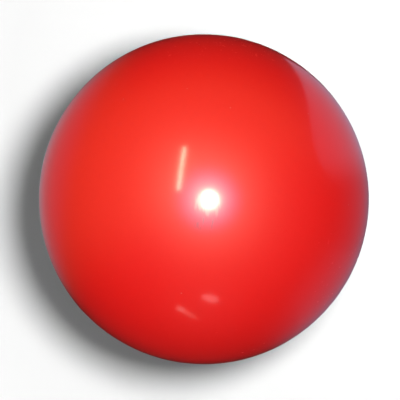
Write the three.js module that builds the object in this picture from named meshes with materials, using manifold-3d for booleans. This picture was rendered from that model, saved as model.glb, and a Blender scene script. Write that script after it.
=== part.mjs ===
// Inflatable moulded vinyl play ball with a plug valve.
// Millimetres. The origin is the centre of the ball, +Z is up, and the valve faces +Y.
// Every piece is turned about the valve's axis, so a profile point is a radius and a height along +Y.

import * as THREE from 'three';
import * as BufferGeometryUtils from 'three/addons/utils/BufferGeometryUtils.js';
import Module from 'manifold-3d';

// Driving dimensions: the ball
const BALL_DIAMETER = 180;
const WALL = 2;
const BOSS_HEIGHT = 10; // how far the boss stands in from the inside of the wall
const BOSS_WALL = 3.5; // round the recess that takes the collar's flange
const BOSS_FILLET = 3; // between the boss and the wall
const BOSS_EDGE = 1.5; // rounding at the boss's inner end
const MOUTH_CHAMFER = 0.4; // where the recess opens on the outside

// Driving dimensions: the valve collar
const BORE_DIAMETER = 7; // takes a pump's nozzle
const BARREL_WALL = 1.5;
const RIM_WIDTH = 2.7; // flat rim round the plug's head
const HEAD_POCKET_DEPTH = 1.8;
const FLANGE_FLOOR = 1.6; // material under the head's pocket
const LIP_CATCH = 0.9; // how far the lip grips behind the boss
const LIP_LAND = 0.8;
const LIP_TAPER = 2;
const NOSE_WALL = 1.1; // at the collar's inner end
const NOTCH_DIAMETER = 4; // nail notch beside the plug's head
const NOTCH_WALL = 1; // rim left outside the notch
const NOTCH_UNDERCUT = 0.5; // below the floor of the head's pocket

// Driving dimensions: the plug
const HEAD_OVERHANG = 2.5; // from the bore's edge to the head's edge
const HEAD_EDGE = 0.4;
const NECK_LENGTH = 2;
const RIB_COUNT = 3;
const RIB_PITCH = 2.4;
const RIB_LAND = 0.5;
const RIB_HEIGHT = 0.4;
const TIP_LENGTH = 3;
const TIP_TAPER = 0.8;

// Clearance between pieces that fit into each other
const FIT_GAP = 0.3;

// How finely round forms are cut
const TURN_SEGMENTS = 48;
const QUARTER_STEPS = 12;
const ROUNDING_STEPS = 3;
const DOME_STEPS = 2;
const NOTCH_SEGMENTS = 24;
const CUT_MARGIN = 1; // how far a cutter reaches past the face it opens
const JOIN_DISTANCE = 1e-4; // corners closer than this are one

// Finishes
const SKIN_VINYL = { color: 0xe2231b, roughness: 0.15, metalness: 0 };
const COLLAR_VINYL = { color: 0xc01c16, roughness: 0.4, metalness: 0 };
const PLUG_PLASTIC = { color: 0xf0ebdc, roughness: 0.35, metalness: 0 };

// Radii, from the bore outwards
const ballRadius = BALL_DIAMETER / 2;
const cavityRadius = ballRadius - WALL;
const boreRadius = BORE_DIAMETER / 2;
const barrelRadius = boreRadius + BARREL_WALL;
const sleeveRadius = barrelRadius + FIT_GAP; // hole through the boss
const lipRadius = sleeveRadius + LIP_CATCH;
const headRadius = boreRadius + HEAD_OVERHANG;
const headPocketRadius = headRadius + FIT_GAP;
const flangeRadius = headPocketRadius + RIM_WIDTH;
const recessRadius = flangeRadius + FIT_GAP; // recess in the wall for the flange
const mouthRadius = recessRadius + MOUTH_CHAMFER;
const bossRadius = recessRadius + BOSS_WALL;

// Heights along the valve's axis, from the outside inwards
const rimLevel = heightOnSphere(ballRadius, mouthRadius);
const headPocketFloor = rimLevel - HEAD_POCKET_DEPTH;
const flangeUnderside = headPocketFloor - FLANGE_FLOOR;
const recessFloor = flangeUnderside - FIT_GAP;
const bossFace = cavityRadius - BOSS_HEIGHT;
const lipTop = bossFace - FIT_GAP;
const noseEnd = lipTop - LIP_LAND - LIP_TAPER;

// The plug's own sizes
const headUnderside = headPocketFloor + FIT_GAP;
const ribRadius = boreRadius - FIT_GAP;
const coreRadius = ribRadius - RIB_HEIGHT;
const tipRadius = coreRadius - TIP_TAPER;
const ribsLength = RIB_COUNT * RIB_PITCH;
const tipEnd = headUnderside - NECK_LENGTH - ribsLength - TIP_LENGTH;

const wasm = await Module();
wasm.setup();

// Height of a sphere's surface at a given distance from the axis
function heightOnSphere(radius, distance) {
  return Math.sqrt(radius ** 2 - distance ** 2);
}

function at(radius, height) {
  return new THREE.Vector2(radius, height);
}

// Points along a round stretch of a profile, without its first point
function arc(centre, radius, from, to, steps) {
  const curve = new THREE.EllipseCurve(centre.x, centre.y, radius, radius, from, to, to < from);
  return curve.getPoints(steps).slice(1);
}

function turned(profile) {
  return new THREE.LatheGeometry(profile, TURN_SEGMENTS);
}

// Closed mesh to solid, with vertices joined by place alone
function toSolid(geometry) {
  const bare = geometry.clone();
  bare.deleteAttribute('normal');
  bare.deleteAttribute('uv');
  const merged = BufferGeometryUtils.mergeVertices(bare, JOIN_DISTANCE);
  const mesh = new wasm.Mesh({
    numProp: 3,
    vertProperties: new Float32Array(merged.attributes.position.array),
    triVerts: new Uint32Array(merged.index.array),
  });
  return new wasm.Manifold(mesh);
}

function toGeometry(solid) {
  const mesh = solid.getMesh();
  const geometry = new THREE.BufferGeometry();
  geometry.setAttribute('position', new THREE.BufferAttribute(mesh.vertProperties, 3));
  geometry.setIndex(new THREE.BufferAttribute(mesh.triVerts, 1));
  geometry.computeVertexNormals();
  return geometry;
}

// The skin: outer round, stepped hole for the collar, boss, and inner round, from pole to pole
function ballShell() {
  const origin = at(0, 0);
  const mouthAngle = Math.acos(mouthRadius / ballRadius);
  const bossSide = heightOnSphere(cavityRadius, bossRadius) - bossFace;
  const fillet = Math.min(BOSS_FILLET, bossSide / 2);
  const edge = Math.min(BOSS_EDGE, bossSide / 4, BOSS_WALL);
  const filletRadius = bossRadius + fillet;
  const filletHeight = heightOnSphere(cavityRadius - fillet, filletRadius);
  const filletAngle = Math.atan2(filletHeight, filletRadius);
  const profile = [
    at(0, -ballRadius),
    ...arc(origin, ballRadius, -Math.PI / 2, 0, QUARTER_STEPS),
    ...arc(origin, ballRadius, 0, mouthAngle, QUARTER_STEPS),
    at(recessRadius, rimLevel - MOUTH_CHAMFER),
    at(recessRadius, recessFloor),
    at(sleeveRadius, recessFloor),
    at(sleeveRadius, bossFace),
    at(bossRadius - edge, bossFace),
    ...arc(at(bossRadius - edge, bossFace + edge), edge, -Math.PI / 2, 0, ROUNDING_STEPS),
    at(bossRadius, filletHeight),
    ...arc(at(filletRadius, filletHeight), fillet, Math.PI, filletAngle, ROUNDING_STEPS),
    ...arc(origin, cavityRadius, filletAngle, 0, QUARTER_STEPS),
    ...arc(origin, cavityRadius, 0, -Math.PI / 2, QUARTER_STEPS).slice(0, -1),
    at(0, -cavityRadius),
  ];
  return turned(profile);
}

// The sleeve: flat rim, pocket for the plug's head, bore, and a lip that snaps behind the boss
function valveCollar() {
  const profile = [
    at(boreRadius, noseEnd),
    at(boreRadius + NOSE_WALL, noseEnd),
    at(lipRadius, lipTop - LIP_LAND),
    at(lipRadius, lipTop),
    at(barrelRadius, lipTop),
    at(barrelRadius, flangeUnderside),
    at(flangeRadius, flangeUnderside),
    at(flangeRadius, rimLevel),
    at(headPocketRadius, rimLevel),
    at(headPocketRadius, headPocketFloor),
    at(boreRadius, headPocketFloor),
    at(boreRadius, noseEnd),
  ];
  return toGeometry(toSolid(turned(profile)).subtract(toSolid(nailNotch())));
}

// Cutter for the notch in the rim, where a nail gets under the plug's head
function nailNotch() {
  const floor = headPocketFloor - NOTCH_UNDERCUT;
  const top = rimLevel + CUT_MARGIN;
  const radius = NOTCH_DIAMETER / 2;
  const offset = flangeRadius - NOTCH_WALL - radius;
  const cutter = new THREE.CylinderGeometry(radius, radius, top - floor, NOTCH_SEGMENTS);
  return cutter.translate(0, (top + floor) / 2, offset);
}

// The stopper: a head that carries on the ball's round, a neck, gripping ribs and a tapered tip
function valvePlug() {
  const headTopAngle = Math.acos((headRadius - HEAD_EDGE) / ballRadius);
  const headShoulder = heightOnSphere(ballRadius, headRadius - HEAD_EDGE) - HEAD_EDGE;
  const ribsTop = headUnderside - NECK_LENGTH;
  const ribs = Array.from({ length: RIB_COUNT }, (_, i) => ribsTop - i * RIB_PITCH).flatMap((top) => [
    at(coreRadius, top),
    at(ribRadius, top),
    at(ribRadius, top - RIB_LAND),
  ]);
  const down = [
    at(0, ballRadius),
    ...arc(at(0, 0), ballRadius, Math.PI / 2, headTopAngle, DOME_STEPS),
    at(headRadius, headShoulder),
    at(headRadius, headUnderside),
    at(coreRadius, headUnderside),
    ...ribs,
    at(coreRadius, ribsTop - ribsLength),
    at(tipRadius, tipEnd),
    at(0, tipEnd),
  ];
  return turned(down.reverse());
}

function piece(name, geometry, finish) {
  const mesh = new THREE.Mesh(geometry, new THREE.MeshStandardMaterial(finish));
  mesh.name = name;
  return mesh;
}

const toyBall = new THREE.Group();
toyBall.name = 'toy_ball';
toyBall.add(
  piece('ball_shell', ballShell(), SKIN_VINYL),
  piece('valve_collar', valveCollar(), COLLAR_VINYL),
  piece('valve_plug', valvePlug(), PLUG_PLASTIC),
);

export default toyBall;
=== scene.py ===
"""Glossy red vinyl play ball with a plug valve, on a pale floor, with lamps and a camera."""

import math

import bpy
from bpy.props import FloatProperty, FloatVectorProperty, IntProperty, PointerProperty
from bpy.types import Operator, Panel, PropertyGroup
from mathutils import Matrix, Vector


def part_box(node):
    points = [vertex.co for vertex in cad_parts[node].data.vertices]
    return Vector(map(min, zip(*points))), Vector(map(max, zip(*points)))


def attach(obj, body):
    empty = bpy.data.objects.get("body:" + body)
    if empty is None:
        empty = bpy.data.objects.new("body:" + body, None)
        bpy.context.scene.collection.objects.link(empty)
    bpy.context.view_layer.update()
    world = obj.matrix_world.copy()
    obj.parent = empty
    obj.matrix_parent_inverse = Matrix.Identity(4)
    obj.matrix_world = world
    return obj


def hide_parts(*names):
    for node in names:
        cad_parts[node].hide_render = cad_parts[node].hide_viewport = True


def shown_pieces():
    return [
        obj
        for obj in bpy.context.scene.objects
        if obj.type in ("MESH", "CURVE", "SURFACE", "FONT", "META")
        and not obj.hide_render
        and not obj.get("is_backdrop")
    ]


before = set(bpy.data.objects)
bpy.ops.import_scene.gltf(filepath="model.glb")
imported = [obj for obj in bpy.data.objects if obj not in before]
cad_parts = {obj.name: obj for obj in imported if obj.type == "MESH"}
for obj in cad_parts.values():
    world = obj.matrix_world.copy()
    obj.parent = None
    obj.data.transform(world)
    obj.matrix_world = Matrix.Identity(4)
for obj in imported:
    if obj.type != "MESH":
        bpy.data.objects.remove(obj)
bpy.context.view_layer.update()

bl_info = {
    "name": "Play Ball",
    "version": (1, 0, 0),
    "blender": (4, 5, 0),
    "location": "View3D > Sidebar > Play Ball",
    "description": "Dresses a moulded play ball with a plug valve and sets it on a pale floor",
    "category": "Object",
}

MM = 0.001
SHELL_LOW, SHELL_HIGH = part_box("ball_shell")

# How finely round forms are cut
SKIN_SEGMENTS = 256
SKIN_RINGS = 128
LINING_RINGS = 48
VALVE_SEGMENTS = 96
NOTCH_SEGMENTS = 48
ROUNDING_STEPS = 4
DOME_STEPS = 5
EDGE_STEPS = 3
SAME_PLACE = 1e-6
SHARP_ANGLE = math.radians(32)
CUT_MARGIN = 1 * MM

# The photograph's frame, in its own pixels
PICTURE_SIZE = 400
BALL_CENTRE_PX = (203.9, 199.2)
BALL_RADIUS_PX = 165.0
SENSOR_WIDTH = 36.0

# Inputs and outputs of a Mix node that mixes colours
MIX_FIRST = 6
MIX_SECOND = 7
MIX_RESULT = 2

BLACK = (0.0, 0.0, 0.0, 1.0)
WHITE = (1.0, 1.0, 1.0, 1.0)

# Patterns on the skin: waves to the metre, which part of the noise shows, and heights in millimetres
SWELL_WAVES = 24
SWELL_HEIGHT = 0.22
PEEL_WAVES = 620
PEEL_HEIGHT = 0.003
MOULD_LINE_EDGE = 0.5 * MM
MOULD_LINE_CREST = 0.1 * MM
MOULD_LINE_HEIGHT = 0.02
RUB_WAVES = 14
RUB_RANGE = (0.5, 0.72)
RUB_TINT = 0.4
FLECK_WAVES = 420
FLECK_RANGE = (0.6, 0.68)
PATCH_WAVES = 60
PATCH_TINT = 0.3
SPECKS_PER_METRE = 95
SPECK_RANGE = (0.036, 0.02)

# A scuffed spot on top of the ball, with strokes drawn out along Y
SCUFF_PLACE = (0.0, -0.0065, 0.0897)
SCUFF_RADIUS = 11 * MM
SCUFF_STRETCH = (1.0, 0.15, 1.1)
SCUFF_WAVES = 700
SCUFF_RANGE = (0.53, 0.62)
SCUFF_WEAR = 0.3
SCUFF_DIRT = 0.6

# What a fleck or scuff does to the skin, and the gloss of the rest
MARK_DEPTH = 0.006
MARK_ROUGHNESS = 0.3
MARK_COAT_LOSS = 0.4
GLOSS_WAVES = 90
GLOSS_CHANGE = 0.03
COAT_ROUGHNESS = 0.55
COAT_IOR = 1.72

# The collar's satin finish
COLLAR_GRAIN_WAVES = 2600
COLLAR_GRAIN_HEIGHT = 0.012
COLLAR_DIRT_WAVES = 260
COLLAR_DIRT_RANGE = (0.45, 0.75)
COLLAR_DIRT_SHARE = 0.7
COLLAR_DIRT_DARKNESS = 0.6
COLLAR_ROUGHNESS = 0.36
COLLAR_DIRT_ROUGHNESS = 0.14
COLLAR_GRAIN_ROUGHNESS = 0.06

# The plug's waxy finish
PLUG_GRAIN_WAVES = 3200
PLUG_GRAIN_HEIGHT = 0.008
PLUG_YELLOW_WAVES = 300
PLUG_YELLOW_RANGE = (0.35, 0.75)
PLUG_YELLOWING = (0.97, 0.92, 0.8)
PLUG_ROUGHNESS = 0.34
PLUG_ROUGHNESS_CHANGE = 0.08

# Lamps: where each stands, in metres from the ball's centre
KEY_PLACE = (0.14, -0.008, 2.5)
KEY_TINT = (1.0, 0.97, 0.66)
FLOOR_LAMP_PLACE = (0.091, 0.047, 0.592)
OVERHEAD_PLACE = (0.0, 0.0, 1.0)
FILL_PLACE = (-0.322, 0.49, 0.385)
UNDER_PLACE = (0.175, -0.476, -0.483)
WIDE_LAMP_SIZE = 12.0
FLOOR_SIZE = 8.0

# Small lamps that only show in the gloss: a warm streak, and soft spots low on the ball
GLINTS = {
    "tube": {
        "shape": "RECTANGLE",
        "start": (-0.211, 0.59, 0.877),
        "end": (-0.297, 0.106, 1.035),
        "width": 0.028,
        "brightness": 38.0,
        "tint": (1.0, 0.9, 0.62),
    },
    "far_glint": {
        "shape": "ELLIPSE",
        "start": (-0.004, -0.324, 0.191),
        "end": (0.047, -0.337, 0.161),
        "width": 0.034,
        "brightness": 2.1,
        "tint": (1.0, 0.95, 0.95),
    },
    "near_glint": {
        "shape": "ELLIPSE",
        "start": (-0.06, -0.248, 0.103),
        "end": (-0.014, -0.26, 0.071),
        "width": 0.012,
        "brightness": 1.25,
        "tint": (1.0, 0.9, 0.75),
    },
    "near_spot": {
        "shape": "ELLIPSE",
        "start": (-0.063, -0.249, 0.104),
        "end": (-0.045, -0.254, 0.095),
        "width": 0.02,
        "brightness": 1.5,
        "tint": (1.0, 0.9, 0.85),
    },
}

# The dark tent that the gloss reflects: a cone from just outside the picture up past the lamps
TENT_FOOT = 0.147
TENT_SLOPE = 0.862
TENT_HEIGHT = 3.0
TENT_LIFT = 0.5 * MM
TENT_DARK = (0.004, 0.004, 0.006)

# Glows on the tent. A bearing is in degrees from +X. A spread holds the cosines from that bearing at which
# the glow starts and is full. Heights are in metres from the ball's centre.
# Each glow is light painted on the tent, which the gloss shows as a painted reflection
BACK_GLOW = (0.28, 0.24, 0.09)
BACK_BEARING = 115
BACK_SPREAD = (-0.45, 0.45)
BACK_HEIGHTS = (-0.03, 0.15)
LEFT_GLOW = (0.28, 0.35, 0.41)
LEFT_WARM = (0.28, 0.29, 0.1)
LEFT_BEARING = 167
LEFT_SPREAD = (0.57, 1.1)
LEFT_TOP_LEVEL = 0.62
LEFT_HEIGHTS = (-0.03, -0.09)
LEFT_COOL_HEIGHTS = (0.05, -0.02)
LEFT_COOL_DROP = 0.1
RIGHT_GLOW = (0.14, 0.2, 0.29)
RIGHT_BEARING = -14
RIGHT_SPREAD = (0.55, 0.9)
RIGHT_HEIGHTS = (0.05, -0.12)
RIGHT_DIP = 0.05
RIGHT_DIP_BEARING = -36
RIGHT_DIP_SPREAD = (0.93, 1.0)

# A window glow painted on the tent, cut off by a slanting plane, and a glow painted round the lamp above
# the ball, which the gloss shows as the haze round the highlight
WINDOW = (0.28, 0.37, 0.51)
WINDOW_SLOPE = (0.635, 0.243, -0.733)
WINDOW_EDGE = 0.1427
WINDOW_BLUR = 1.5 * MM
WINDOW_BEARING = 102
WINDOW_SPREAD = (-0.14, 0.14)
HALO_CORE = (10.7, 10.7, 10.5)
HALO_EDGE = (0.0, 0.0, 23.0)
HALO_PLACE = (0.163, -0.01, 2.91)
HALO_RADIUS = 1.75
HALO_FALL = 2.5


def length(name, description, default):
    """A size in metres that a user can change."""
    return FloatProperty(
        name=name,
        description=description,
        default=default,
        min=0.0,
        precision=5,
        unit="LENGTH",
        subtype="DISTANCE",
    )


def colour(name, description, default):
    """A linear colour that a user can change."""
    return FloatVectorProperty(
        name=name, description=description, default=default, min=0.0, max=1.0, size=3, subtype="COLOR"
    )


def share(name, description, default):
    """A number from 0 to 1 that a user can change."""
    return FloatProperty(
        name=name, description=description, default=default, min=0.0, max=1.0, subtype="FACTOR"
    )


def watts(name, description, default):
    """A lamp's power that a user can change."""
    return FloatProperty(name=name, description=description, default=default, min=0.0, unit="POWER")


class SkinSizes(PropertyGroup):
    """Sizes of the moulded skin"""

    diameter: length("Diameter", "Across the ball", SHELL_HIGH.x - SHELL_LOW.x)
    wall: length("Wall", "Thickness of the skin", 2 * MM)
    boss_height: length("Boss height", "How far the boss stands in from the inside of the wall", 10 * MM)
    boss_wall: length("Boss wall", "Round the recess that takes the collar's flange", 3.5 * MM)
    boss_fillet: length("Boss fillet", "Rounding between the boss and the wall", 3 * MM)
    boss_edge: length("Boss edge", "Rounding at the boss's inner end", 1.5 * MM)
    mouth_edge: length("Mouth edge", "Rounding where the recess opens on the outside", 0.4 * MM)


class CollarSizes(PropertyGroup):
    """Sizes of the valve collar"""

    bore: length("Bore", "Across the air hole", 7 * MM)
    barrel_wall: length("Barrel wall", "Thickness of the sleeve round the bore", 1.5 * MM)
    rim_width: length("Rim width", "Flat rim round the plug's head", 2.7 * MM)
    pocket_depth: length("Pocket depth", "Pocket that takes the plug's head", 1.8 * MM)
    flange_floor: length("Flange floor", "Material under the pocket", 1.6 * MM)
    lip_catch: length("Lip catch", "How far the lip grips behind the boss", 0.9 * MM)
    lip_land: length("Lip land", "Straight part of the lip", 0.8 * MM)
    lip_taper: length("Lip taper", "Length of the lip's lead-in", 2 * MM)
    nose_wall: length("Nose wall", "Wall at the collar's inner end", 1.1 * MM)
    notch_diameter: length("Notch diameter", "Nail notch beside the plug's head", 4 * MM)
    notch_wall: length("Notch wall", "Rim left outside the notch", 1 * MM)
    notch_undercut: length("Notch undercut", "Below the floor of the pocket", 0.5 * MM)
    fit_gap: length("Fit gap", "Clearance between pieces that fit into each other", 0.3 * MM)
    edge: length("Edge rounding", "Rounding of the collar's moulded edges", 0.2 * MM)


class PlugSizes(PropertyGroup):
    """Sizes of the valve plug"""

    head_overhang: length("Head overhang", "From the bore's edge to the head's edge", 2.5 * MM)
    head_edge: length("Head edge", "Rounding of the head's edge", 0.4 * MM)
    gate_radius: length("Gate radius", "Dimple left in the head by the mould's gate", 1.3 * MM)
    gate_depth: length("Gate depth", "Depth of the dimple", 0.3 * MM)
    neck_length: length("Neck length", "Plain stretch under the head", 2 * MM)
    rib_count: IntProperty(name="Ribs", description="Gripping ribs on the shank", default=3, min=1)
    rib_pitch: length("Rib pitch", "From rib to rib", 2.4 * MM)
    rib_land: length("Rib land", "Straight part of a rib", 0.5 * MM)
    rib_height: length("Rib height", "How far a rib stands out", 0.4 * MM)
    tip_length: length("Tip length", "Tapered end of the shank", 3 * MM)
    tip_taper: length("Tip taper", "How much the radius drops along the tip", 0.8 * MM)
    edge: length("Edge rounding", "Rounding of the plug's moulded edges", 0.12 * MM)


class Finishes(PropertyGroup):
    """Colours and gloss of the three pieces"""

    skin: colour("Skin", "Red of the moulded skin", (0.87, 0.0025, 0.0015))
    skin_worn: colour("Worn skin", "Red where the skin is rubbed", (0.85, 0.005, 0.004))
    grime: colour("Grime", "Dirt rubbed into the scuffs", (0.25, 0.02, 0.03))
    dust: colour("Dust", "Pale specks on the skin", (0.85, 0.3, 0.25))
    collar: colour("Collar", "Darker red of the valve collar", (0.6, 0.015, 0.011))
    plug: colour("Plug", "Ivory of the plug", (0.88, 0.82, 0.68))
    skin_roughness: share("Skin roughness", "Roughness of the clean skin", 0.12)


class StageSetup(PropertyGroup):
    """Camera, lamps and floor"""

    camera_height: length("Camera height", "From the ball's centre to the camera", 0.75)
    key_power: watts("Key power", "Lamp above the camera that lights the ball", 46.0)
    key_radius: length("Key radius", "Radius of the lamp above the camera", 0.25)
    floor_power: watts("Floor power", "Lamp that lights the floor and throws the shadow", 8.68)
    floor_radius: length("Floor lamp radius", "Radius of the lamp that throws the shadow", 0.0685)
    fill_power: watts("Fill power", "Wide soft lamp above and behind the ball", 229.0)
    under_power: watts("Under power", "Wide soft lamp below and in front of the ball", 187.0)
    floor_pale: share("Floor", "How pale the floor is", 0.5)
    shade: share("Shade", "Soft light from above that still reaches the floor in the shadow", 0.212)


class Layout:
    """Radii about the valve's axis, which is Y, and heights along it, worked out from the sizes."""

    def __init__(self, scene):
        skin, collar, plug = scene.ball_skin, scene.ball_collar, scene.ball_plug
        self.ball = skin.diameter / 2
        self.cavity = self.ball - skin.wall
        self.bore = collar.bore / 2
        self.barrel = self.bore + collar.barrel_wall
        self.sleeve = self.barrel + collar.fit_gap
        self.lip = self.sleeve + collar.lip_catch
        self.head = self.bore + plug.head_overhang
        self.pocket = self.head + collar.fit_gap
        self.flange = self.pocket + collar.rim_width
        self.recess = self.flange + collar.fit_gap
        self.mouth = self.recess + skin.mouth_edge
        self.boss = self.recess + skin.boss_wall
        self.rim_level = height_on_sphere(self.ball, self.mouth)
        self.pocket_floor = self.rim_level - collar.pocket_depth
        self.flange_underside = self.pocket_floor - collar.flange_floor
        self.recess_floor = self.flange_underside - collar.fit_gap
        self.boss_face = self.cavity - skin.boss_height
        self.lip_top = self.boss_face - collar.fit_gap
        self.nose_end = self.lip_top - collar.lip_land - collar.lip_taper
        self.head_underside = self.pocket_floor + collar.fit_gap
        self.rib = self.bore - collar.fit_gap
        self.core = self.rib - plug.rib_height
        self.tip = self.core - plug.tip_taper
        self.ribs_top = self.head_underside - plug.neck_length
        self.ribs_end = self.ribs_top - plug.rib_count * plug.rib_pitch
        self.tip_end = self.ribs_end - plug.tip_length


def height_on_sphere(radius, distance):
    """Height of a sphere's surface at a distance from its axis."""
    return math.sqrt(radius**2 - distance**2)


def arc(centre, radius, start, end, steps):
    """Profile points along an arc, without its first point, with angles in degrees."""
    points = []
    for step in range(1, steps + 1):
        angle = math.radians(start + (end - start) * step / steps)
        points.append((centre[0] + radius * math.cos(angle), centre[1] + radius * math.sin(angle)))
    return points


def deselect_all():
    """Leaves edit mode and selects nothing."""
    if bpy.context.mode != "OBJECT":
        bpy.ops.object.mode_set(mode="OBJECT")
    bpy.ops.object.select_all(action="DESELECT")


def place_in_mesh():
    """Moves the active object's place and turn into its mesh."""
    bpy.ops.object.transform_apply(location=True, rotation=True, scale=True)


def edit_all():
    """Enters edit mode with all of the mesh selected."""
    bpy.ops.object.mode_set(mode="EDIT")
    bpy.ops.mesh.select_mode(type="VERT")
    bpy.ops.mesh.select_all(action="SELECT")


def select_level(height):
    """In edit mode, selects the vertices at one height along the valve's axis."""
    bpy.ops.mesh.select_all(action="DESELECT")
    bpy.ops.object.mode_set(mode="OBJECT")
    for vertex in bpy.context.object.data.vertices:
        vertex.select = abs(vertex.co.y - height) < SAME_PLACE
    bpy.ops.object.mode_set(mode="EDIT")


def add_ball(radius, rings, cut_level):
    """A sphere with its poles on the valve's axis, cut open above a level, with the open ring selected."""
    deselect_all()
    bpy.ops.mesh.primitive_uv_sphere_add(
        segments=SKIN_SEGMENTS, ring_count=rings, radius=radius, rotation=(math.pi / 2, 0, 0)
    )
    place_in_mesh()
    edit_all()
    bpy.ops.mesh.bisect(plane_co=(0, cut_level, 0), plane_no=(0, 1, 0), clear_outer=True)
    select_level(cut_level)
    return bpy.context.object


def add_ring(radius, height):
    """One ring about the valve's axis, selected in edit mode, as the start of a turned piece."""
    deselect_all()
    bpy.ops.mesh.primitive_circle_add(
        vertices=VALVE_SEGMENTS, radius=radius, location=(0, height, 0), rotation=(math.pi / 2, 0, 0)
    )
    place_in_mesh()
    edit_all()
    return bpy.context.object


def extrude_through(start, profile):
    """Extrudes the selected ring, at (radius, height), through each (radius, height) of a profile."""
    radius, height = start
    for next_radius, next_height in profile:
        grow = next_radius / radius
        bpy.ops.mesh.extrude_region_move(TRANSFORM_OT_translate={"value": (0, next_height - height, 0)})
        bpy.ops.transform.resize(value=(grow, 1, grow), center_override=(0, next_height, 0))
        radius, height = next_radius, next_height


def close_up():
    """Merges doubled vertices and turns all faces outwards."""
    bpy.ops.mesh.select_all(action="SELECT")
    bpy.ops.mesh.remove_doubles(threshold=SAME_PLACE)
    bpy.ops.mesh.normals_make_consistent(inside=False)
    bpy.ops.object.mode_set(mode="OBJECT")


def round_edges(piece, width):
    """Rounds the moulded edges of a piece."""
    bevel = piece.modifiers.new("edges", "BEVEL")
    bevel.width = width
    bevel.segments = EDGE_STEPS
    bevel.limit_method = "ANGLE"
    bevel.angle_limit = SHARP_ANGLE
    bpy.ops.object.modifier_apply(modifier=bevel.name)


def finish_piece(piece, name, material, body, node):
    """Names, smooths and colours a piece, sets what it rides on, and hides the part it stands for."""
    piece.name = name
    piece.data.name = name
    bpy.ops.object.shade_smooth_by_angle(angle=SHARP_ANGLE)
    piece.data.materials.clear()
    piece.data.materials.append(material)
    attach(piece, body)
    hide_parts(node)


class Wire:
    """A socket in a node tree. Sums on it add Math nodes, and node() adds any other node."""

    def __init__(self, tree, socket=None):
        self.tree = tree
        self.socket = socket

    def node(self, kind, settings=None, sockets=None, output=0):
        """Adds a node, makes its settings, fills or links its sockets, and returns one of its outputs."""
        node = self.tree.nodes.new(kind)
        for name, value in (settings or {}).items():
            setattr(node, name, value)
        for name, value in (sockets or {}).items():
            if isinstance(value, Wire):
                self.tree.links.new(value.socket, node.inputs[name])
            else:
                node.inputs[name].default_value = value
        return Wire(self.tree, node.outputs[output] if node.outputs else None)

    def maths(self, operation, *values):
        """The result of a Math node on this value and any others."""
        return self.node("ShaderNodeMath", {"operation": operation}, dict(enumerate((self, *values))))

    def __add__(self, other):
        return self.maths("ADD", other)

    __radd__ = __add__

    def __mul__(self, other):
        return self.maths("MULTIPLY", other)

    __rmul__ = __mul__

    def __sub__(self, other):
        return self.maths("SUBTRACT", other)

    def __rsub__(self, other):
        return self * -1 + other

    def __truediv__(self, other):
        return self.maths("DIVIDE", other)

    def __rtruediv__(self, other):
        return self**-1 * other

    def __pow__(self, other):
        return self.maths("POWER", other)

    def __abs__(self):
        return self.maths("ABSOLUTE")

    def clipped(self):
        """The value held between 0 and 1."""
        return self.node("ShaderNodeClamp", None, {"Value": self})

    def rise(self, low, high):
        """0 below low, 1 above high, and smooth between; the other way round if low is the larger."""
        sockets = {"Value": self, "From Min": low, "From Max": high}
        return self.node("ShaderNodeMapRange", {"interpolation_type": "SMOOTHSTEP"}, sockets)

    def axis(self, name):
        """One part of a vector."""
        return self.node("ShaderNodeSeparateXYZ", None, {"Vector": self}, name)

    def along(self, direction):
        """How far a place lies along a direction."""
        sockets = {0: self, 1: direction}
        return self.node("ShaderNodeVectorMath", {"operation": "DOT_PRODUCT"}, sockets, "Value")

    def times(self, factors):
        """A vector with each part multiplied."""
        return self.node("ShaderNodeVectorMath", {"operation": "MULTIPLY"}, {0: self, 1: factors})

    def heading(self):
        """The level direction of a place from the upright axis."""
        level = self.times((1.0, 1.0, 0.0))
        return self.node("ShaderNodeVectorMath", {"operation": "NORMALIZE"}, {0: level})

    def distance(self, point):
        """How far a place lies from a point."""
        return self.node("ShaderNodeVectorMath", {"operation": "DISTANCE"}, {0: self, 1: point}, "Value")

    def nearest(self, scale):
        """How far a place is from the nearest of scattered points, in shares of their spacing."""
        return self.node("ShaderNodeTexVoronoi", None, {"Vector": self, "Scale": scale}, "Distance")

    def noise(self, scale, detail=2.0, roughness=0.5):
        """Smooth noise over a place, with this many waves to the metre."""
        sockets = {"Vector": self, "Scale": scale, "Detail": detail, "Roughness": roughness}
        return self.node("ShaderNodeTexNoise", None, sockets)

    def blend(self, first, second):
        """A colour between two, by this value."""
        sockets = {"Factor": self, MIX_FIRST: first, MIX_SECOND: second}
        return self.node("ShaderNodeMix", {"data_type": "RGBA"}, sockets, MIX_RESULT)

    def bump(self):
        """A normal that follows this height, in millimetres."""
        return self.node("ShaderNodeBump", None, {"Distance": MM, "Height": self})


def rgba(values):
    """A linear colour as a colour socket takes it."""
    return (*values, 1.0)


def new_material(name):
    """An empty material and a wire to build its nodes with."""
    material = bpy.data.materials.new(name)
    material.use_nodes = True
    material.node_tree.nodes.clear()
    return material, Wire(material.node_tree)


def finish_material(wire, sockets):
    """Ends a material with a shader that has these sockets filled."""
    shader = wire.node("ShaderNodeBsdfPrincipled", None, sockets)
    wire.node("ShaderNodeOutputMaterial", None, {"Surface": shader})


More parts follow.
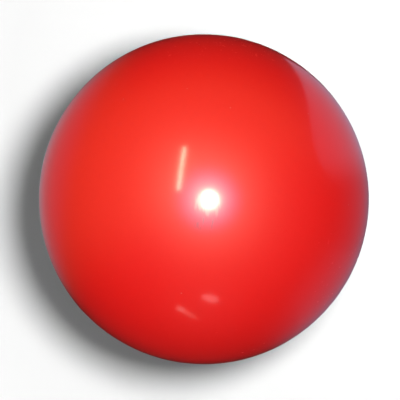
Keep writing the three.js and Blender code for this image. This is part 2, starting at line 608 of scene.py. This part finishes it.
def skin_vinyl(finishes):
    """Shiny moulded vinyl: a sharp gloss in a broad soft haze, with swells, orange peel, rubs and dust."""
    material, wire = new_material("skin_vinyl")
    place = wire.node("ShaderNodeTexCoord", output="Object")
    swells = place.noise(SWELL_WAVES, detail=1.0)
    peel = place.noise(PEEL_WAVES)
    mould_line = abs(place.axis("Z")).rise(MOULD_LINE_EDGE, MOULD_LINE_CREST)
    rubbed = place.noise(RUB_WAVES, detail=3.0).rise(*RUB_RANGE)
    flecks = place.noise(FLECK_WAVES, detail=4.0, roughness=0.6).rise(*FLECK_RANGE) * rubbed
    scuffed = place.distance(SCUFF_PLACE).rise(SCUFF_RADIUS, SCUFF_RADIUS / 2)
    scuffs = place.times(SCUFF_STRETCH).noise(SCUFF_WAVES, detail=1.0).rise(*SCUFF_RANGE) * scuffed
    marks = (flecks + SCUFF_WEAR * scuffs).clipped()
    specks = place.nearest(SPECKS_PER_METRE).rise(*SPECK_RANGE)
    tint = (RUB_TINT * rubbed + PATCH_TINT * place.noise(PATCH_WAVES, detail=4.0)).clipped()
    base = tint.blend(rgba(finishes.skin), rgba(finishes.skin_worn))
    base = (SCUFF_DIRT * scuffs).blend(base, rgba(finishes.grime))
    gloss = GLOSS_CHANGE * place.noise(GLOSS_WAVES, detail=3.0) + MARK_ROUGHNESS * marks
    relief = SWELL_HEIGHT * swells + PEEL_HEIGHT * peel + MOULD_LINE_HEIGHT * mould_line
    height = relief - MARK_DEPTH * marks
    sockets = {
        "Base Color": specks.blend(base, rgba(finishes.dust)),
        "Roughness": finishes.skin_roughness + gloss,
        "Coat Weight": 1.0 - MARK_COAT_LOSS * marks,
        "Coat Roughness": COAT_ROUGHNESS,
        "Coat IOR": COAT_IOR,
        "Normal": height.bump(),
    }
    finish_material(wire, sockets)
    return material


def collar_vinyl(finishes):
    """Softer satin vinyl with a fine moulded grain and a little rubbed-in dirt."""
    material, wire = new_material("collar_vinyl")
    place = wire.node("ShaderNodeTexCoord", output="Object")
    grain = place.noise(COLLAR_GRAIN_WAVES, detail=3.0)
    dirt = place.noise(COLLAR_DIRT_WAVES, detail=5.0, roughness=0.65).rise(*COLLAR_DIRT_RANGE)
    darker = [COLLAR_DIRT_DARKNESS * part for part in finishes.collar]
    sockets = {
        "Base Color": (COLLAR_DIRT_SHARE * dirt).blend(rgba(finishes.collar), rgba(darker)),
        "Roughness": COLLAR_ROUGHNESS + COLLAR_DIRT_ROUGHNESS * dirt + COLLAR_GRAIN_ROUGHNESS * grain,
        "Normal": (COLLAR_GRAIN_HEIGHT * grain).bump(),
    }
    finish_material(wire, sockets)
    return material


def plug_plastic(finishes):
    """Waxy ivory plastic, finely grained, a little yellowed in patches."""
    material, wire = new_material("plug_plastic")
    place = wire.node("ShaderNodeTexCoord", output="Object")
    grain = place.noise(PLUG_GRAIN_WAVES, detail=3.0)
    yellowed = place.noise(PLUG_YELLOW_WAVES, detail=4.0, roughness=0.6).rise(*PLUG_YELLOW_RANGE)
    warmer = [part * change for part, change in zip(finishes.plug, PLUG_YELLOWING)]
    sockets = {
        "Base Color": yellowed.blend(rgba(finishes.plug), rgba(warmer)),
        "Roughness": PLUG_ROUGHNESS + PLUG_ROUGHNESS_CHANGE * (grain + yellowed),
        "Normal": (PLUG_GRAIN_HEIGHT * grain).bump(),
    }
    finish_material(wire, sockets)
    return material


class PLAYBALL_OT_skin(Operator):
    """Model the hollow moulded skin, with the stepped seat and the boss for its valve"""

    bl_idname = "playball.skin"
    bl_label = "Moulded skin"

    def execute(self, context):
        sizes, at = context.scene.ball_skin, Layout(context.scene)
        fillet_centre = at.boss + sizes.boss_fillet
        fillet_height = height_on_sphere(at.cavity - sizes.boss_fillet, fillet_centre)
        fillet_angle = math.degrees(math.atan2(fillet_height, fillet_centre))
        fillet_end = at.cavity * math.sin(math.radians(fillet_angle))
        lining = add_ball(at.cavity, LINING_RINGS, fillet_end)
        skin = add_ball(at.ball, SKIN_RINGS, at.rim_level)
        mouth_corner = (at.mouth, at.rim_level - sizes.mouth_edge)
        boss_corner = (at.boss - sizes.boss_edge, at.boss_face + sizes.boss_edge)
        fillet_corner = (fillet_centre, fillet_height)
        seat = [
            *arc(mouth_corner, sizes.mouth_edge, 90, 180, ROUNDING_STEPS),
            (at.recess, at.recess_floor),
            (at.sleeve, at.recess_floor),
            (at.sleeve, at.boss_face),
            (at.boss - sizes.boss_edge, at.boss_face),
            *arc(boss_corner, sizes.boss_edge, -90, 0, ROUNDING_STEPS),
            (at.boss, fillet_height),
            *arc(fillet_corner, sizes.boss_fillet, 180, fillet_angle, ROUNDING_STEPS)[:-1],
        ]
        extrude_through((at.mouth, at.rim_level), seat)
        deselect_all()
        lining.select_set(True)
        skin.select_set(True)
        context.view_layer.objects.active = skin
        bpy.ops.object.join()
        edit_all()
        bpy.ops.mesh.select_all(action="DESELECT")
        bpy.ops.mesh.select_non_manifold()
        bpy.ops.mesh.bridge_edge_loops()
        close_up()
        material = skin_vinyl(context.scene.ball_finishes)
        finish_piece(skin, "moulded_skin", material, "ball", "ball_shell")
        return {"FINISHED"}


class PLAYBALL_OT_collar(Operator):
    """Model the soft valve sleeve: rim, pocket, bore, nail notch and a lip that snaps behind the boss"""

    bl_idname = "playball.collar"
    bl_label = "Valve collar"

    def execute(self, context):
        sizes, at = context.scene.ball_collar, Layout(context.scene)
        start = (at.bore, at.nose_end)
        collar = add_ring(*start)
        around = [
            (at.bore + sizes.nose_wall, at.nose_end),
            (at.lip, at.lip_top - sizes.lip_land),
            (at.lip, at.lip_top),
            (at.barrel, at.lip_top),
            (at.barrel, at.flange_underside),
            (at.flange, at.flange_underside),
            (at.flange, at.rim_level),
            (at.pocket, at.rim_level),
            (at.pocket, at.pocket_floor),
            (at.bore, at.pocket_floor),
            start,
        ]
        extrude_through(start, around)
        close_up()
        self.cut_notch(collar, sizes, at)
        round_edges(collar, sizes.edge)
        material = collar_vinyl(context.scene.ball_finishes)
        finish_piece(collar, "valve_sleeve", material, "ball", "valve_collar")
        return {"FINISHED"}

    def cut_notch(self, collar, sizes, at):
        """Cuts the round notch where a nail gets under the plug's head."""
        radius = sizes.notch_diameter / 2
        floor = at.pocket_floor - sizes.notch_undercut
        top = at.rim_level + CUT_MARGIN
        deselect_all()
        bpy.ops.mesh.primitive_cylinder_add(
            vertices=NOTCH_SEGMENTS,
            radius=radius,
            depth=top - floor,
            location=(0, (top + floor) / 2, at.flange - sizes.notch_wall - radius),
            rotation=(math.pi / 2, 0, 0),
        )
        cutter = bpy.context.object
        deselect_all()
        collar.select_set(True)
        bpy.context.view_layer.objects.active = collar
        cut = collar.modifiers.new("nail notch", "BOOLEAN")
        cut.object = cutter
        cut.operation = "DIFFERENCE"
        bpy.ops.object.modifier_apply(modifier=cut.name)
        bpy.data.objects.remove(cutter)


class PLAYBALL_OT_plug(Operator):
    """Model the stopper: a domed head with a gate dimple, a neck, gripping ribs and a tapered tip"""

    bl_idname = "playball.plug"
    bl_label = "Valve plug"

    def execute(self, context):
        sizes, at = context.scene.ball_plug, Layout(context.scene)
        dome_edge = at.head - sizes.head_edge
        shoulder = height_on_sphere(at.ball, dome_edge) - sizes.head_edge
        gate_height = height_on_sphere(at.ball, sizes.gate_radius)
        start = (sizes.gate_radius - sizes.gate_depth, gate_height - sizes.gate_depth)
        plug = add_ring(*start)
        bpy.ops.mesh.edge_face_add()
        stride = (dome_edge - sizes.gate_radius) / DOME_STEPS
        dome = [sizes.gate_radius + stride * step for step in range(DOME_STEPS + 1)]
        profile = [(radius, height_on_sphere(at.ball, radius)) for radius in dome]
        profile += arc((dome_edge, shoulder), sizes.head_edge, 90, 0, ROUNDING_STEPS)
        profile += [(at.head, at.head_underside), (at.core, at.head_underside)]
        for rib in range(sizes.rib_count):
            top = at.ribs_top - rib * sizes.rib_pitch
            profile += [(at.core, top), (at.rib, top), (at.rib, top - sizes.rib_land)]
        profile += [(at.core, at.ribs_end), (at.tip, at.tip_end)]
        extrude_through(start, profile)
        bpy.ops.mesh.edge_face_add()
        close_up()
        round_edges(plug, sizes.edge)
        material = plug_plastic(context.scene.ball_finishes)
        finish_piece(plug, "valve_stopper", material, "plug", "valve_plug")
        return {"FINISHED"}


def towards(heading, bearing, spread):
    """1 where a heading points along a bearing, and less away from it, over a spread of cosines."""
    turn = math.radians(bearing)
    return heading.along((math.cos(turn), math.sin(turn), 0.0)).rise(*spread)


# Painted reflections: the tent's emission is light painted on a surface for the gloss to show
def tent_painted_reflections(place):
    """Painted reflections: dark ground, soft glows at back and sides, a window and the lamp's haze."""
    height = place.axis("Z")
    heading = place.heading()
    back = height.rise(*BACK_HEIGHTS) * towards(heading, BACK_BEARING, BACK_SPREAD)
    painted_light = back.blend(rgba(TENT_DARK), rgba(BACK_GLOW))
    left_side = towards(heading, LEFT_BEARING, LEFT_SPREAD)
    left_level = LEFT_TOP_LEVEL + (1.0 - LEFT_TOP_LEVEL) * height.rise(*LEFT_HEIGHTS)
    cool = (height + LEFT_COOL_DROP * (1.0 - left_side)).rise(*LEFT_COOL_HEIGHTS)
    left_tint = cool.blend(rgba(LEFT_WARM), rgba(LEFT_GLOW))
    painted_light = (left_level * left_side).blend(painted_light, left_tint)
    dip = RIGHT_DIP * towards(heading, RIGHT_DIP_BEARING, RIGHT_DIP_SPREAD)
    right = (height - dip).rise(*RIGHT_HEIGHTS) * towards(heading, RIGHT_BEARING, RIGHT_SPREAD)
    painted_light = right.blend(painted_light, rgba(RIGHT_GLOW))
    window = place.along(WINDOW_SLOPE).rise(WINDOW_EDGE - WINDOW_BLUR, WINDOW_EDGE + WINDOW_BLUR)
    window = window * towards(heading, WINDOW_BEARING, WINDOW_SPREAD)
    painted_light = window.blend(painted_light, rgba(WINDOW))
    # Painted highlight halo: a glow painted round the lamp above the ball, which the gloss shows round the
    # highlight
    shine = place.distance(HALO_PLACE).rise(HALO_RADIUS, 0.0)
    return (shine**HALO_FALL).blend(painted_light, shine.blend(rgba(HALO_EDGE), rgba(HALO_CORE)))


class PLAYBALL_OT_stage(Operator):
    """Set up the pale floor, the lamps, the dark tent that the gloss reflects, and the camera"""

    bl_idname = "playball.stage"
    bl_label = "Stage"

    def execute(self, context):
        setup, radius = context.scene.ball_stage, context.scene.ball_skin.diameter / 2
        floor = self.add_floor(setup, radius)
        self.add_tent(radius)
        self.light_world(context.scene)
        self.add_lamps(setup, floor)
        self.add_camera(context.scene, setup, radius)
        context.scene.view_settings.view_transform = "Standard"
        return {"FINISHED"}

    def add_floor(self, setup, radius):
        """A wide pale floor that shows the ball's shadow and stays white beyond its lamp's reach."""
        deselect_all()
        bpy.ops.mesh.primitive_plane_add(size=FLOOR_SIZE, location=(0, 0, -radius))
        floor = bpy.context.object
        floor.name = "floor"
        place_in_mesh()
        material, wire = new_material("pale_floor")
        place = wire.node("ShaderNodeTexCoord", output="Object")
        drop = (FLOOR_LAMP_PLACE[2] + radius) ** 2
        across = (place.axis("X") - FLOOR_LAMP_PLACE[0]) ** 2 + (place.axis("Y") - FLOOR_LAMP_PLACE[1]) ** 2
        under_lamp = setup.floor_pale * setup.floor_power / (math.pi**2 * drop)
        lit = under_lamp * (drop / (across + drop)) ** 2
        unlit = (1.0 - setup.shade - lit).maths("MAXIMUM", 0.0)
        glow_colour = (unlit * seen_directly(wire)).blend(BLACK, WHITE)
        matt = wire.node("ShaderNodeBsdfDiffuse", None, {"Color": rgba([setup.floor_pale] * 3)})
        glow = wire.node("ShaderNodeEmission", None, {"Color": glow_colour})
        surface = wire.node("ShaderNodeAddShader", None, {0: matt, 1: glow})
        wire.node("ShaderNodeOutputMaterial", None, {"Surface": surface})
        floor.data.materials.append(material)
        floor.visible_diffuse = False
        floor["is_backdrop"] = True
        return floor

    def add_tent(self, radius):
        """A dark tent with glows on it, which only the gloss sees."""
        deselect_all()
        bpy.ops.mesh.primitive_cone_add(
            vertices=SKIN_SEGMENTS,
            radius1=TENT_FOOT,
            radius2=TENT_FOOT + TENT_SLOPE * TENT_HEIGHT,
            depth=TENT_HEIGHT,
            end_fill_type="NGON",
            location=(0, 0, TENT_HEIGHT / 2 - radius + TENT_LIFT),
        )
        tent = bpy.context.object
        tent.name = "tent"
        place_in_mesh()
        material, wire = new_material("tent_painted_reflections")
        place = wire.node("ShaderNodeTexCoord", output="Object")
        glow = wire.node("ShaderNodeEmission", None, {"Color": tent_painted_reflections(place)})
        wire.node("ShaderNodeOutputMaterial", None, {"Surface": glow})
        tent.data.materials.append(material)
        tent.visible_camera = False
        tent.visible_diffuse = False
        tent.visible_transmission = False
        tent.visible_shadow = False
        tent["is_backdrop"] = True

    def light_world(self, scene):
        """A world that is white where it is seen and lights nothing."""
        world = bpy.data.worlds.new("studio")
        scene.world = world
        world.use_nodes = True
        world.node_tree.nodes.clear()
        wire = Wire(world.node_tree)
        light = wire.node("ShaderNodeBackground", None, {"Color": seen_directly(wire).blend(BLACK, WHITE)})
        wire.node("ShaderNodeOutputWorld", None, {"Surface": light})

    def add_lamps(self, setup, floor):
        """A round lamp above the ball, two wide ones round it, two for the floor alone, and the glints."""
        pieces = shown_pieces()
        for piece in pieces:
            # Keeps the ball's red off the floor, whose shadow is a neutral grey
            piece.visible_diffuse = False
        key = add_lamp("key", "DISK", KEY_PLACE, 2 * setup.key_radius, setup.key_power, pieces)
        key.data.color = KEY_TINT
        floor_lamp = add_lamp(
            "floor_lamp", "DISK", FLOOR_LAMP_PLACE, 2 * setup.floor_radius, setup.floor_power, [floor]
        )
        floor_lamp.rotation_euler = (0, 0, 0)
        overhead_power = math.pi * WIDE_LAMP_SIZE**2 * setup.shade / setup.floor_pale
        overhead = add_lamp("overhead", "SQUARE", OVERHEAD_PLACE, WIDE_LAMP_SIZE, overhead_power, [floor])
        fill = add_lamp("fill", "SQUARE", FILL_PLACE, WIDE_LAMP_SIZE, setup.fill_power, pieces)
        under = add_lamp("under", "SQUARE", UNDER_PLACE, WIDE_LAMP_SIZE, setup.under_power, pieces)
        for lamp in (floor_lamp, overhead, fill, under):
            lamp.visible_glossy = False
            lamp.data.cycles.use_multiple_importance_sampling = False
        for lamp in (fill, under):
            lamp.light_linking.blocker_collection = lamp.light_linking.receiver_collection
        for name, glint in GLINTS.items():
            add_glint(name, **glint)

    def add_camera(self, scene, setup, radius):
        """A camera straight above the ball, which frames it as the photograph does."""
        edge_distance = math.sqrt(setup.camera_height**2 - radius**2)
        focal_px = BALL_RADIUS_PX * edge_distance / radius
        pixel = setup.camera_height / focal_px
        aside = [(PICTURE_SIZE / 2 - px) * pixel for px in BALL_CENTRE_PX]
        bpy.ops.object.camera_add(location=(aside[0], -aside[1], setup.camera_height), rotation=(0, 0, 0))
        camera = bpy.context.object
        camera.name = "camera"
        camera.data.sensor_width = SENSOR_WIDTH
        camera.data.lens = focal_px * SENSOR_WIDTH / PICTURE_SIZE
        scene.camera = camera


def seen_directly(wire):
    """1 for what the camera sees, directly or by way of gloss, and 0 for light that falls on things."""
    camera = wire.node("ShaderNodeLightPath", output="Is Camera Ray")
    glossy = wire.node("ShaderNodeLightPath", output="Is Glossy Ray")
    clear = wire.node("ShaderNodeLightPath", output="Is Transmission Ray")
    return (camera + glossy + clear).clipped()


def add_lamp(name, shape, place, width, power, receivers):
    """A lamp that faces the ball's centre and lights only the receivers."""
    bpy.ops.object.light_add(type="AREA", location=place)
    lamp = bpy.context.object
    lamp.name = name
    lamp.rotation_euler = (-Vector(place)).to_track_quat("-Z", "Y").to_euler()
    lamp.data.shape = shape
    lamp.data.size = width
    lamp.data.energy = power
    lamp.visible_camera = False
    lit = bpy.data.collections.new(name + "_lights")
    for receiver in receivers:
        lit.objects.link(receiver)
    lamp.light_linking.receiver_collection = lit
    return lamp


def add_glint(name, shape, start, end, width, brightness, tint):
    """A flat lamp between two points, facing the ball, that shows in the gloss and lights nothing else."""
    middle = (Vector(start) + Vector(end)) / 2
    reach = Vector(end) - Vector(start)
    back = middle.normalized()
    side = reach.cross(back).normalized()
    turn = Matrix((side, back.cross(side), back)).transposed()
    bpy.ops.object.light_add(type="AREA", location=middle, rotation=turn.to_euler())
    lamp = bpy.context.object
    lamp.name = name
    lamp.data.shape = shape
    lamp.data.size = width
    lamp.data.size_y = reach.length
    lamp.data.energy = brightness * math.pi * lamp.data.size * lamp.data.size_y
    lamp.data.color = tint
    lamp.visible_camera = False
    lamp.visible_diffuse = False


class PLAYBALL_PT_panel(Panel):
    """Buttons and sizes for the play ball"""

    bl_idname = "PLAYBALL_PT_panel"
    bl_label = "Play Ball"
    bl_space_type = "VIEW_3D"
    bl_region_type = "UI"
    bl_category = "Play Ball"

    def draw(self, context):
        for operator in OPERATORS:
            self.layout.operator(operator.bl_idname)
        for name, group in SETTINGS.items():
            box = self.layout.box()
            box.label(text=group.__doc__)
            for setting in group.__annotations__:
                box.prop(getattr(context.scene, name), setting)


OPERATORS = (PLAYBALL_OT_skin, PLAYBALL_OT_collar, PLAYBALL_OT_plug, PLAYBALL_OT_stage)
SETTINGS = {
    "ball_skin": SkinSizes,
    "ball_collar": CollarSizes,
    "ball_plug": PlugSizes,
    "ball_finishes": Finishes,
    "ball_stage": StageSetup,
}
CLASSES = (*SETTINGS.values(), *OPERATORS, PLAYBALL_PT_panel)


def register():
    for cls in CLASSES:
        bpy.utils.register_class(cls)
    for name, group in SETTINGS.items():
        setattr(bpy.types.Scene, name, PointerProperty(type=group))


def unregister():
    for name in SETTINGS:
        delattr(bpy.types.Scene, name)
    for cls in reversed(CLASSES):
        bpy.utils.unregister_class(cls)


def main():
    register()
    bpy.ops.playball.skin()
    bpy.ops.playball.collar()
    bpy.ops.playball.plug()
    bpy.ops.playball.stage()


if __name__ == "__main__":
    main()
